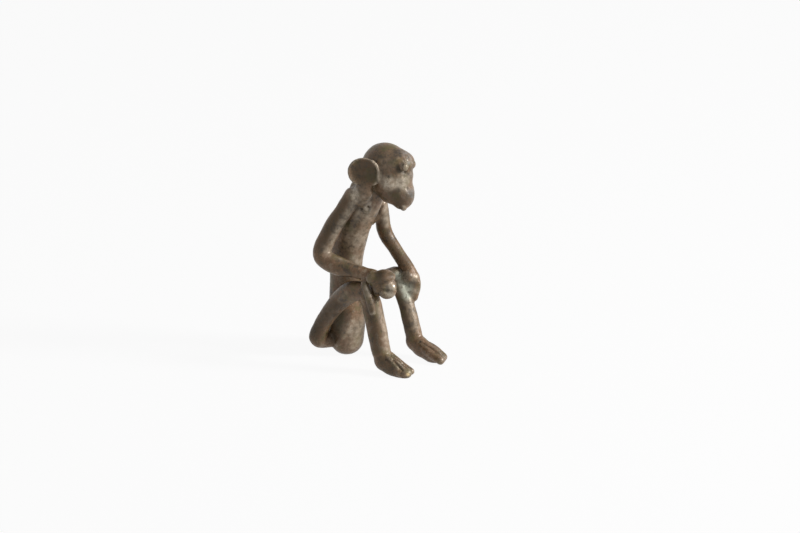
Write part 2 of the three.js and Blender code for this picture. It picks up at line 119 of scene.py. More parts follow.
def waxLump(core, eggs, blend=0.35, detail=5):
    ball = bmesh.new()
    bmesh.ops.create_icosphere(ball, subdivisions=detail, radius=1.0)
    out = np.array([v.co.normalized() for v in ball.verts])
    faces = [tuple(v.index for v in f.verts) for f in ball.faces]
    ball.free()
    eggs = np.array(eggs, float)

    def distance(points):
        # below zero inside the eggs. The clip keeps the exponents within what a float can hold.
        total = np.zeros(len(points))
        for egg in eggs:
            scaled = (points - egg[:3]) / egg[3:]
            reach = np.linalg.norm(scaled, axis=1)
            slope = np.maximum(np.linalg.norm(scaled / egg[3:], axis=1), 1e-6)
            total += np.exp(np.clip(-reach * (reach - 1) / slope / blend, -700, 700))
        return -blend * np.log(np.maximum(total, 1e-300))

    farthest, halvings = 30.0, 22
    inside, outside = np.zeros(len(out)), np.full(len(out), farthest)
    for _ in range(halvings):
        middle = (inside + outside) / 2
        within = distance(core + out * middle[:, None]) < 0
        inside = np.where(within, middle, inside)
        outside = np.where(within, outside, middle)
    return core + out * inside[:, None], faces


def joined(*parts):
    verts, faces = [], []
    for partVerts, partFaces in parts:
        start = sum(len(v) for v in verts)
        verts.append(partVerts)
        faces += [tuple(start + i for i in face) for face in partFaces]
    return np.vstack(verts), faces


# Trunk: one thick roll, with a saddle of wax pressed over the shoulders and the nape.

trunk = {
    "stations": [(0, 0.3, 4.3, 4.8), (0, 0.2, 9, 5.15), (0, 0.2, 14, 5.1), (0, 0.5, 22, 4.6),
                 (0, 0, 31, 4.85), (0, -3.6, 41, 4.8), (0, -6.8, 46.8, 4.7), (0, -9.6, 52, 4.2)],
    "saddle": (0, -6.9, 51.0, 6.2, 3.3, 3.0),
    # wax that fills the corners below the ears, and below those the sides of the breast
    "neckFills": [(-6.7, -11.5, 51.6, 2.0, 3.1, 3.2), (5.4, -10.6, 50.6, 2.3, 2.8, 3.2),
                  (-4.9, -9.3, 49.6, 2.5, 2.5, 3.7), (4.6, -9.0, 48.6, 2.3, 2.4, 3.6)],
}


def torsoForm():
    lumps = [waxLump(np.array(lump[:3]), [lump]) for lump in [trunk["saddle"], *trunk["neckFills"]]]
    return joined(waxRoll(trunk["stations"], steps=80, sides=48), *lumps)


# Head, measured from the middle of the skull

skull = np.array([0, -14.2, 57.0])
face = {
    "eggs": [(0, 0, 0, 5.9, 7.9, 7.6),          # skull
             (0, -4.75, 2.95, 4.4, 4.0, 3.2),   # brow
             (0, -4.65, -1.0, 3.2, 3.8, 4.0),   # bridge of the nose
             (0, -5.6, -6.2, 3.6, 3.5, 4.5),    # muzzle
             (0, -2.4, -6.0, 4.0, 4.4, 3.6),    # jaw
             (-3.0, -3.2, -2.4, 2.6, 3.0, 2.8), (3.0, -3.2, -2.4, 2.6, 3.0, 2.8)],  # cheeks
    "core": (0, -2.3, -2.6),
}


def headForm():
    eggs = [tuple(skull + egg[:3]) + egg[3:] for egg in face["eggs"]]
    return waxLump(skull + np.array(face["core"]), eggs)


# Ears: a dish pressed from a flat pellet, thicker at its rim, on a thick root.

ear = {"radius": 4.35, "oval": 0.035, "lobe": 0.1, "lobeAt": 225, "thickness": 1.6, "dish": 1.3, "turn": 32,
       "side": 7.9, "back": 1.9, "rise": 0.7, "leftDrop": 1.1, "root": (2.0, 2.6, 2.9), "rootPressed": 0.3}


def earForm(side):
    rise = ear["rise"] - (ear["leftDrop"] if side > 0 else 0)
    centre = skull + np.array([side * ear["side"], ear["back"], rise])
    turn = math.radians(ear["turn"])
    hollow = np.array([side * math.cos(turn), -math.sin(turn), 0])
    along = np.array([side * math.sin(turn), math.cos(turn), 0])
    half = ear["thickness"] / 2
    profile = [(0, -half), (0.3, -half), (0.6, -half), (0.85, -half * 0.8), (0.96, -half * 0.35),
               (1.0, half * 0.25), (0.985, half * 0.75), (0.94, half * 1.0), (0.88, half * 0.75),
               (0.7, half - ear["dish"] * 0.6), (0.4, half - ear["dish"] * 0.95), (0, half - ear["dish"])]
    sides = 64
    verts, faces = [centre + hollow * profile[0][1]], []
    for share, height in profile[1:-1]:
        for s in range(sides):
            angle = 2 * math.pi * s / sides
            # a hand-pressed round, a little longer than high, and drawn out low at the front,
            # where it joins the cheek
            lobe = ear["lobe"] * max(0, math.cos(angle - math.radians(ear["lobeAt"]))) ** 3
            radius = ear["radius"] * (1 + ear["oval"] * math.cos(2 * angle) + lobe)
            level = along * math.cos(angle) * share * radius
            lift = np.array([0, 0, 1]) * math.sin(angle) * share * radius
            verts.append(centre + (level + lift) + hollow * height)
    verts.append(centre + hollow * profile[-1][1])
    rings = len(profile) - 2
    lastRing = 1 + (rings - 1) * sides
    for s in range(sides):
        t = (s + 1) % sides
        ends = [(0, 1 + t, 1 + s), (len(verts) - 1, lastRing + s, lastRing + t)]
        walls = [(1 + r * sides + s, 1 + r * sides + t, 1 + (r + 1) * sides + t, 1 + (r + 1) * sides + s)
                 for r in range(rings - 1)]
        for one in ends + walls:
            faces.append(one if side < 0 else one[::-1])
    rootCentre = centre - hollow * (half + ear["root"][0] - ear["rootPressed"])
    root = waxLump(rootCentre, [tuple(rootCentre) + ear["root"]], detail=4)
    return joined((np.array(verts), faces), root)


# Pellets

pellets = {"right_eye": (-2.5, -22.35, 59.7, 1.35), "left_eye": (2.0, -21.5, 59.3, 1.3),
           "right_nipple": (-4.2, -10.1, 45.6, 1.45), "left_nipple": (3.8, -9.6, 45.3, 1.35),
           "lower_lip": (-1.3, -21.3, 47.4, 0.95)}


def pelletForm(name):
    centre, radius = pellets[name][:3], pellets[name][3]
    return waxLump(np.array(centre), [centre + (radius,) * 3], detail=4)


# Legs: each thigh comes out from under the rump, turns up and goes to the knee.

leg = {
    "thigh": {
        -1: [(-3.4, 3.4, 4.5, 2.6), (-5.2, 4.9, 4.5, 2.7), (-6.7, 5.2, 5.2, 2.75), (-7.1, 3.5, 9.4, 2.4),
             (-7.5, 0.7, 13.4, 2.4), (-8.2, -4.0, 18.4, 2.75), (-8.5, -8.6, 22.0, 2.95),
             (-8.7, -13.3, 23.0, 2.8)],
        1: [(3.4, 3.4, 4.5, 2.6), (5.2, 4.9, 4.5, 2.7), (6.7, 5.2, 5.2, 2.75), (7.1, 3.6, 9.4, 2.5),
            (7.5, 0.6, 14.4, 2.4), (8.2, -4.6, 20.0, 2.5), (8.7, -10.4, 22.9, 2.6)]},
    "shin": {
        -1: [(-8.7, -14.2, 22.6, 2.8), (-8.7, -15.5, 20.4, 2.85), (-8.8, -17.0, 14.8, 2.85),
             (-8.7, -19.2, 6.2, 2.65)],
        1: [(8.7, -10.8, 22.7, 2.5), (8.7, -14.1, 16.4, 2.3), (8.7, -16.9, 8.0, 2.4),
            (8.7, -17.6, 5.6, 2.4)]},
}

# Feet: a wedge with four toes that are told apart by grooves. Places are measured from the ankle.

foot = {
    "ankle": {-1: (-8.7, -19.2, 0), 1: (8.7, -17.6, 0)},
    # from the heel to the ball. Both heels are lifted and rounded, the left one more.
    "eggs": {
        -1: [(0, -0.4, 4.4, 2.5, 2.5, 3.5), (0, -2.3, 3.2, 2.4, 2.6, 2.9), (0, -4.0, 2.4, 2.3, 3.4, 2.7),
             (0, -6.6, 1.3, 2.1, 3.2, 1.9)],
        1: [(0, 0.2, 5.2, 2.4, 2.4, 3.2), (0, -1.9, 3.7, 2.3, 2.6, 2.8), (0, -3.6, 2.9, 2.3, 3.2, 2.5),
            (0, -6.6, 1.9, 2.3, 3.4, 2.4)]},
    "toes": 4, "toeStep": 1.08, "toeSpread": (0.6, 0.9), "toeStagger": 0.5,
    "toeRoot": {-1: (2.4, 5.4), 1: (2.4, 4.4)}, "toeArch": {-1: (6.0, 2.8), 1: (6.4, 2.8)},
    "toeRadius": {-1: 0.95, 1: 1.25}, "toeReach": {-1: 9.3, 1: 11.7}, "toeTip": {-1: 1.35, 1: 1.35},
    "turnIn": {-1: 0.14, 1: 0.0},
}


def footForm(side):
    ankle = np.array(foot["ankle"][side], float)
    turnIn = foot["turnIn"][side]

    def place(across, ahead, up):
        # the foot points a little inward, so its far end lies nearer the middle
        return ankle + np.array([across - side * turnIn * ahead, -ahead, up])

    eggs = [tuple(place(egg[0], -egg[1], egg[2])) + egg[3:] for egg in foot["eggs"][side]]
    parts = [waxLump(np.array(eggs[1][:3]), eggs)]
    radius = foot["toeRadius"][side]
    rootSpread, archSpread = foot["toeSpread"]
    for k in range(foot["toes"]):
        across = (k - (foot["toes"] - 1) / 2) * foot["toeStep"]
        fromInner = foot["toes"] - 1 - k if side < 0 else k
        reach = foot["toeReach"][side] - fromInner * foot["toeStagger"]
        rootAhead, rootRise = foot["toeRoot"][side]
        archAhead, archRise = foot["toeArch"][side]
        stations = [(*place(across * rootSpread, rootAhead, rootRise), radius),
                    (*place(across * archSpread, archAhead, archRise), radius),
                    (*place(across, reach - radius, foot["toeTip"][side]), radius)]
        parts.append(waxRoll(stations, steps=20, sides=20))
    return joined(*parts)


# Arms: the right one bends at the elbow and lies across the knee, the left one hangs to its knee.

arm = {
    -1: [(-6.0, -6.9, 49.2, 2.6), (-7.6, -4.7, 44.7, 2.5), (-9.3, -1.9, 39.4, 2.55), (-11.0, 0.4, 31.6, 2.6),
         (-10.0, -5.1, 29.1, 2.65), (-9.3, -9.1, 28.8, 2.2), (-8.5, -13.3, 28.0, 1.95),
         (-8.2, -16.0, 27.9, 1.9)],
    1: [(5.4, -6.9, 47.2, 2.3), (6.4, -6.6, 44.4, 2.35), (7.8, -6.2, 41.0, 2.2), (9.4, -6.4, 34.6, 2.1),
        (10.2, -9.8, 29.7, 2.0), (10.7, -13.4, 25.4, 1.95), (10.8, -14.9, 23.4, 1.9)],
}
# wax smoothed over the near shoulder, and a web in the far armpit
shoulderFill = {-1: (-4.6, -8.4, 50.2, 2.6, 2.4, 3.0), 1: (4.9, -5.6, 41.0, 1.4, 1.5, 3.3)}


def armForm(side):
    fill = shoulderFill[side]
    return joined(waxRoll(arm[side], steps=80), waxLump(np.array(fill[:3]), [fill]))


# Hands. The right fist is turned inward, so that its fingers lie one behind another as seen from
# the front right. Its back lies over them. Places are across (outward), ahead and up from its middle.

hand = {"fist": (-7.7, -19.6, 26.6), "turn": 38, "fingers": 3,
        "back": (0, 0.0, 1.7, 2.9, 3.1, 2.0), "heel": (0, -1.5, -1.0, 2.4, 1.7, 3.0),
        "wrist": (0, -3.4, 1.3, 1.9, 1.9, 1.9), "core": (0, 0.6, -1.6, 2.7, 1.6, 1.6),
        "curlCentre": (0.7, -1.7), "curlRadius": 1.6, "curlTurns": (130, -151, -35),
        "fingerStep": 1.6, "fingerRadius": 1.1, "fistCore": (0, -0.8, 0.6),
        "palm": [(10.9, -15.3, 22.4, 1.9, 2.0, 2.3), (9.1, -14.7, 23.4, 1.7, 1.7, 1.9),
                 (10.3, -15.5, 19.4, 1.0, 1.0, 2.6), (9.6, -15.6, 19.0, 1.2, 1.2, 2.4)]}


def fistPlace(across, ahead, up):
    turn = math.radians(hand["turn"])
    outward = np.array([-math.cos(turn), -math.sin(turn), 0])
    forward = np.array([math.sin(turn), -math.cos(turn), 0])
    return np.array(hand["fist"]) + outward * across + forward * ahead + np.array([0, 0, up])


def rightHandForm():
    eggs = []
    for name in ("back", "heel", "wrist", "core"):
        across, ahead, up, *half = hand[name]
        eggs.append((*fistPlace(across, ahead, up), *half))
    return waxLump(fistPlace(*hand["fistCore"]), eggs)


def curledFingerForm(index):
    across = ((hand["fingers"] - 1) / 2 - index) * hand["fingerStep"]
    ahead, up = hand["curlCentre"]
    stations = []
    for turn in range(*hand["curlTurns"]):
        forward = ahead + hand["curlRadius"] * math.cos(math.radians(turn))
        rise = up + hand["curlRadius"] * math.sin(math.radians(turn))
        stations.append((*fistPlace(across, forward, rise), hand["fingerRadius"]))
    return waxRoll(stations, steps=40, sides=20)


# The right thumb and the left fingers lie down the shins.

down = {"right_thumb": [(-10.0, -14.2, 26.0, 1.1), (-11.3, -16.8, 22.5, 1.1), (-11.2, -18.0, 18.3, 1.0)],
        "left_finger_1": [(11.1, -16.5, 21.6, 1.1), (11.0, -16.4, 19.4, 1.1), (10.5, -16.1, 16.9, 1.0)],
        "left_finger_2": [(10.5, -15.0, 21.6, 1.1), (10.4, -15.3, 19.4, 1.1), (10.0, -15.6, 17.2, 1.0)]}


waxForms = {
    "torso": torsoForm(),
    "head": headForm(),
    "right_hand": rightHandForm(),
    "left_hand": waxLump(np.array(hand["palm"][0][:3]), hand["palm"]),
}
for name, stations in down.items():
    waxForms[name] = waxRoll(stations, steps=24, sides=20)
for sideName, side in (("right", -1), ("left", 1)):
    waxForms[sideName + "_ear"] = earForm(side)
    waxForms[sideName + "_thigh"] = waxRoll(leg["thigh"][side], steps=60)
    waxForms[sideName + "_shin"] = waxRoll(leg["shin"][side])
    waxForms[sideName + "_foot"] = footForm(side)
    waxForms[sideName + "_arm"] = armForm(side)
for k in range(hand["fingers"]):
    waxForms[f"right_finger_{k + 1}"] = curledFingerForm(k)
for name in pellets:
    waxForms[name] = pelletForm(name)
print(f"wax forms made: {len(waxForms)}")


# The pieces are pressed together into one skin. Wax fills its creases a little, in a few rounds.

casting = {"voxel": 0.2, "evenPasses": 2, "creasePasses": 8, "creaseDepth": 0.06, "filletRounds": 3,
           "filletPasses": 5, "filletPull": 0.55, "collar": 0.35, "formMargin": 1.2}


def fusedSkin():
    mesh = bpy.data.meshes.new("waxBlank")
    verts, faces = joined(*waxForms.values())
    mesh.from_pydata(verts.tolist(), [], faces)
    blank = bpy.data.objects.new("waxBlank", mesh)
    bpy.context.scene.collection.objects.link(blank)
    remesh = blank.modifiers.new("press", "REMESH")
    remesh.mode = "VOXEL"
    remesh.voxel_size = casting["voxel"]
    remesh.adaptivity = 0
    bpy.context.view_layer.update()
    evaluated = blank.evaluated_get(bpy.context.evaluated_depsgraph_get())
    pressed = bpy.data.meshes.new_from_object(evaluated)
    bpy.data.objects.remove(blank)
    bpy.data.meshes.remove(mesh)
    return pressed


class Skin:
    # the working surface, as arrays of places and normals in millimetres
    def __init__(self, mesh):
        self.mesh = mesh
        count = len(mesh.vertices)
        self.places = np.empty(count * 3)
        mesh.vertices.foreach_get("co", self.places)
        self.places = self.places.reshape(-1, 3)
        edges = np.empty(len(mesh.edges) * 2, int)
        mesh.edges.foreach_get("vertices", edges)
        self.edges = edges.reshape(-1, 2)
        self.neighbours = np.bincount(self.edges.ravel(), minlength=count)
        self.faces = np.array([tuple(p.vertices) for p in mesh.polygons])
        self.measure()

    def measure(self):
        corners = self.places[self.faces]
        across = np.cross(corners[:, 2] - corners[:, 0], corners[:, 3] - corners[:, 1])
        self.normals = self.gather(self.faces, np.repeat(across, 4, axis=0))
        self.normals /= np.maximum(np.linalg.norm(self.normals, axis=1), 1e-12)[:, None]

    def gather(self, owners, values):
        flat = owners.ravel()
        return np.stack([np.bincount(flat, values[:, a], len(self.places)) for a in range(3)], axis=1)

    def pull(self, places):
        # from each vertex to the middle of its neighbours
        a, b = self.edges[:, 0], self.edges[:, 1]
        both = np.concatenate([a, b])
        values = places[np.concatenate([b, a])]
        total = np.stack([np.bincount(both, values[:, c], len(places)) for c in range(3)], axis=1)
        return total / self.neighbours[:, None] - places

    def smooth(self, passes, weight=0.5):
        share = weight if np.isscalar(weight) else weight[:, None]
        for _ in range(passes):
            self.places += self.pull(self.places) * share
        self.measure()

    def hollowness(self, passes):
        # how far each vertex lies below its smoothed surroundings, negative on ridges
        soft = self.places.copy()
        for _ in range(passes):
            soft += self.pull(soft) * 0.5
        return np.einsum("ij,ij->i", soft - self.places, self.normals)

    def bend(self, passes):
        # both curvatures added up, per millimetre: above zero on ridges, below in hollows
        return -self.hollowness(passes) * 8 / (passes * casting["voxel"] ** 2)


skin = Skin(fusedSkin())
print(f"pressed together: {len(skin.places)} vertices")
skin.smooth(casting["evenPasses"])
for _ in range(casting["filletRounds"]):
    crease = np.clip(skin.hollowness(casting["creasePasses"]) / casting["creaseDepth"], 0, 1)
    skin.smooth(casting["filletPasses"], casting["filletPull"] * crease)
skin.smooth(1)

# Modelling marks. Each follows a line of places on the skin, or an arc about a pellet, pressed in
# where its height is below zero and raised where it is above, and fades over its width.

marks = {
    # about the eyes and on the brow
    "nearSocketHollow": {"line": [(-3.4, -21.2, 59.0)], "width": 1.0, "height": -0.35, "pellet": "right_eye"},
    "nearSocketGroove": {"pellet": "right_eye", "reach": 1.7, "arc": (-120, 50), "width": 0.55,
                         "height": -0.9},
    "nearLidGroove": {"pellet": "right_eye", "reach": 1.65, "arc": (60, 250), "width": 0.35,
                      "height": -0.12},
    "nearCheekPlane": {"line": [(-2.9, -21.0, 55.6), (-2.7, -21.4, 54.4)], "width": 1.4, "height": 0.22},
    "browFill": {"line": [(0, -19.8, 64.0)], "width": 2.2, "height": 0.3},
    "nearSocketRim": {"line": [(-3.2, -20.6, 62.2), (-4.2, -20.0, 61.0), (-4.5, -19.7, 58.7),
                               (-3.9, -20.2, 56.9), (-2.6, -21.4, 56.3)], "width": 0.6, "height": 0.2},
    "cheekPit": {"line": [(-4.9, -18.8, 56.8)], "width": 0.4, "height": -0.45},
    # the near ear's front
    "nearEarRim": {"line": [(-7.1, -15.4, 61.7), (-6.6, -15.8, 60.3), (-6.1, -16.1, 58.0),
                            (-6.0, -15.9, 55.8), (-6.1, -15.2, 54.0)], "width": 0.5, "height": 0.3},
    "nearEarGroove": {"line": [(-5.3, -16.9, 58.6), (-5.4, -17.1, 57.1), (-5.4, -17.0, 55.4),
                               (-5.5, -16.9, 53.9)], "width": 0.55, "height": -0.2},
    # the muzzle and the lip
    "nearNostril": {"line": [(-1.1, -22.6, 53.2)], "width": 0.42, "height": -0.3},
    "farNostril": {"line": [(1.2, -22.4, 53.6)], "width": 0.42, "height": -0.25},
    "farCheekPlane": {"line": [(2.9, -21.0, 55.6), (2.7, -21.4, 54.4)], "width": 1.4, "height": 0.22},
    "nearLipPit": {"line": [(-2.2, -20.9, 47.4)], "width": 0.4, "height": -0.4},
    "farLipPit": {"line": [(0.4, -22.1, 48.3)], "width": 0.4, "height": -0.4},
    # the trunk and the near thigh
    "shoulderPit": {"line": [(-7.4, -8.9, 49.4)], "width": 0.4, "height": -0.35},
    "nearNippleGroove": {"line": [(-5.3, -9.5, 45.8), (-5.1, -9.8, 44.6), (-4.6, -10.4, 44.0)],
                         "width": 0.45, "height": -0.5},
    "rumpEdge": {"line": [(-3.0, -4.2, 13.5), (-3.5, -3.7, 10.7), (-4.4, -2.0, 6.9), (-4.9, -0.2, 3.7)],
                 "width": 0.8, "height": 0.35},
    "rumpHollow": {"line": [(-4.7, -1.6, 12.5), (-5.0, 0.0, 9.0), (-5.0, 1.2, 6.0)], "width": 1.2,
                   "height": -0.25},
    "thighCrease": {"line": [(-9.7, -5.8, 16.8), (-9.3, -4.9, 15.6)], "width": 0.4, "height": -0.35},
    "farNippleGroove": {"pellet": "left_nipple", "reach": 1.7, "arc": (0, 360), "width": 0.45,
                        "height": -0.25},
}

# Grooves that tell the toes apart, from the instep to near the tips. The spreads draw them together
# at the instep.
toeGrooves = {"width": 0.27, "height": {-1: -0.36, 1: -0.22}, "from": (2.4, 4.6), "over": (5.6, 3.6),
              "spreads": (0.7, 0.9), "short": 0.7, "tip": 2.2, "outward": 0.25}
for side, sideName in ((-1, "right"), (1, "left")):
    ankle = foot["ankle"][side]
    for k in range(1, foot["toes"]):
        across = (k - foot["toes"] / 2) * foot["toeStep"] + side * toeGrooves["outward"]
        reach = foot["toeReach"][side] - toeGrooves["short"] - foot["toeStagger"] * (foot["toes"] - 1) / 2
        fromSpread, overSpread = toeGrooves["spreads"]
        line = []
        for spread, ahead, height in ((fromSpread, *toeGrooves["from"]), (overSpread, *toeGrooves["over"]),
                                      (1, reach, toeGrooves["tip"])):
            inward = side * foot["turnIn"][side] * ahead
            line.append((ankle[0] + across * spread - inward, ankle[1] - ahead, height))
        marks[f"{sideName}ToeGroove{k}"] = {"line": line, "width": toeGrooves["width"],
                                            "height": toeGrooves["height"][side]}

# Places where a thumb smoothed the wax over: x, y, z, the reach and how strongly.
thumbed = {"passes": 170, "edge": 4, "spots": [
    # the side of the neck below each ear, the nape, and the breast over the near nipple
    (-4.6, -9.8, 51.2, 2.6, 0.6), (-6.8, -12.4, 52.6, 2.2, 0.6), (-8.4, -12.6, 53.0, 1.8, 0.6),
    (-7.6, -9.6, 50.6, 1.9, 0.6), (-7.2, -11.4, 49.0, 2.4, 0.6), (-6.0, -12.8, 49.8, 2.2, 0.6),
    (6.4, -11.8, 52.2, 2.4, 0.6), (6.2, -10.4, 47.8, 2.4, 0.6), (7.4, -9.4, 50.0, 2.0, 0.6),
    (6.0, -5.4, 51.0, 2.2, 0.5), (-3.2, -10.6, 47.1, 1.0, 0.5),
    # between cheek and ear, the far armpit, the far brow, the top of the muzzle, the left hand
    (-5.6, -17.0, 55.2, 1.3, 0.6), (5.6, -17.0, 54.2, 1.3, 0.6), (5.2, -6.6, 39.2, 1.5, 0.6),
    (0.9, -22.9, 61.0, 1.2, 0.5), (-2.2, -21.9, 53.0, 1.4, 0.5), (-0.6, -22.8, 53.2, 1.4, 0.5),
    (9.4, -15.4, 20.2, 1.6, 0.5)]}


def skinFinder():
    finder = KDTree(len(skin.places))
    for index, place in enumerate(skin.places):
        finder.insert(place, index)
    finder.balance()
    return lambda place: finder.find(place)[1]


def roundLine(name, reach, arc, count=25):
    # an arc on the skin about a pellet, in degrees from the monkey's back or the outer side, upwards
    middle = np.array(pellets[name][:3])
    facing = skin.normals[nearest(middle)]
    level = np.cross(facing, (0, 0, 1))
    level /= np.linalg.norm(level)
    lift = np.cross(level, facing)
    turns = np.radians(np.linspace(*arc, count))
    return [middle + reach * (level * math.cos(t) + lift * math.sin(t)) for t in turns]


# A mark ends at so many widths, and fades within this gap of the pellet that it goes round.
markEnd, pelletGap = 3, 0.3


def press(mark):
    line = mark.get("line") or roundLine(mark["pellet"], mark["reach"], mark["arc"])
    if len(line) > 1:
        length = sum(math.dist(a, b) for a, b in zip(line, line[1:]))
        steps = math.ceil(3 * length / mark["width"])
        line = smoothThrough([(*place, 0) for place in line], steps)[:, :3]
    path = np.array([skin.places[nearest(place)] for place in line])
    reach = markEnd * mark["width"]
    above, below = path.min(axis=0) - reach, path.max(axis=0) + reach
    near = np.nonzero(np.all((skin.places > above) & (skin.places < below), axis=1))[0]
    gap = np.linalg.norm(skin.places[near][:, None] - path[None], axis=2).min(axis=1)
    push = mark["height"] * np.exp(-(gap / mark["width"]) ** 2)
    if "pellet" in mark:
        # the tool goes round the pellet and leaves it standing
        x, y, z, radius = pellets[mark["pellet"]]
        clear = np.linalg.norm(skin.places[near] - (x, y, z), axis=1) - radius
        push *= np.clip(0.5 + clear / pelletGap, 0, 1)
    skin.places[near] += skin.normals[near] * push[:, None]


def patch(spots, edge):
    # each spot is x, y, z, its reach and its strength, and falls to nothing outside its reach.
    # The higher the edge, the sharper it is.
    result = np.zeros(len(skin.places))
    for *middle, reach, strength in spots:
        gap = np.linalg.norm(skin.places - middle, axis=1)
        result = np.maximum(result, strength * np.exp(-(gap / reach) ** edge))
    return result


nearest = skinFinder()
skin.smooth(thumbed["passes"], patch(thumbed["spots"], thumbed["edge"]))
for mark in marks.values():
    press(mark)
skin.measure()
print(f"modelling marks pressed: {len(marks)}")

# Hand-modelled unevenness: slow swells along the rolls, and small finger marks.

unevenness = [{"size": 7.0, "height": 0.16, "seed": 11}, {"size": 2.6, "height": 0.07, "seed": 23},
              {"size": 0.9, "height": 0.03, "seed": 5}]
for swell in unevenness:
    shift = Vector((swell["seed"] * 13.7, swell["seed"] * 7.1, 3.3))
    rise = np.array([noise.noise(Vector(p) / swell["size"] + shift) for p in skin.places])
    skin.places += skin.normals * (rise * swell["height"])[:, None]
skin.places[:, 2] = np.maximum(skin.places[:, 2], 0)
skin.measure()
print("surface modelled")


# What the material is told about each place: how far a ridge stands out, how deep a hollow lies,
# and patches (x, y, z, reach and strength) where the patina differs, and where light, sheen and shade are
# painted into the colour.

def strip(line, reach, strength, steps=16):
    return [(*place, reach, strength) for place in smoothThrough([(*one, 0) for one in line], steps)[:, :3]]


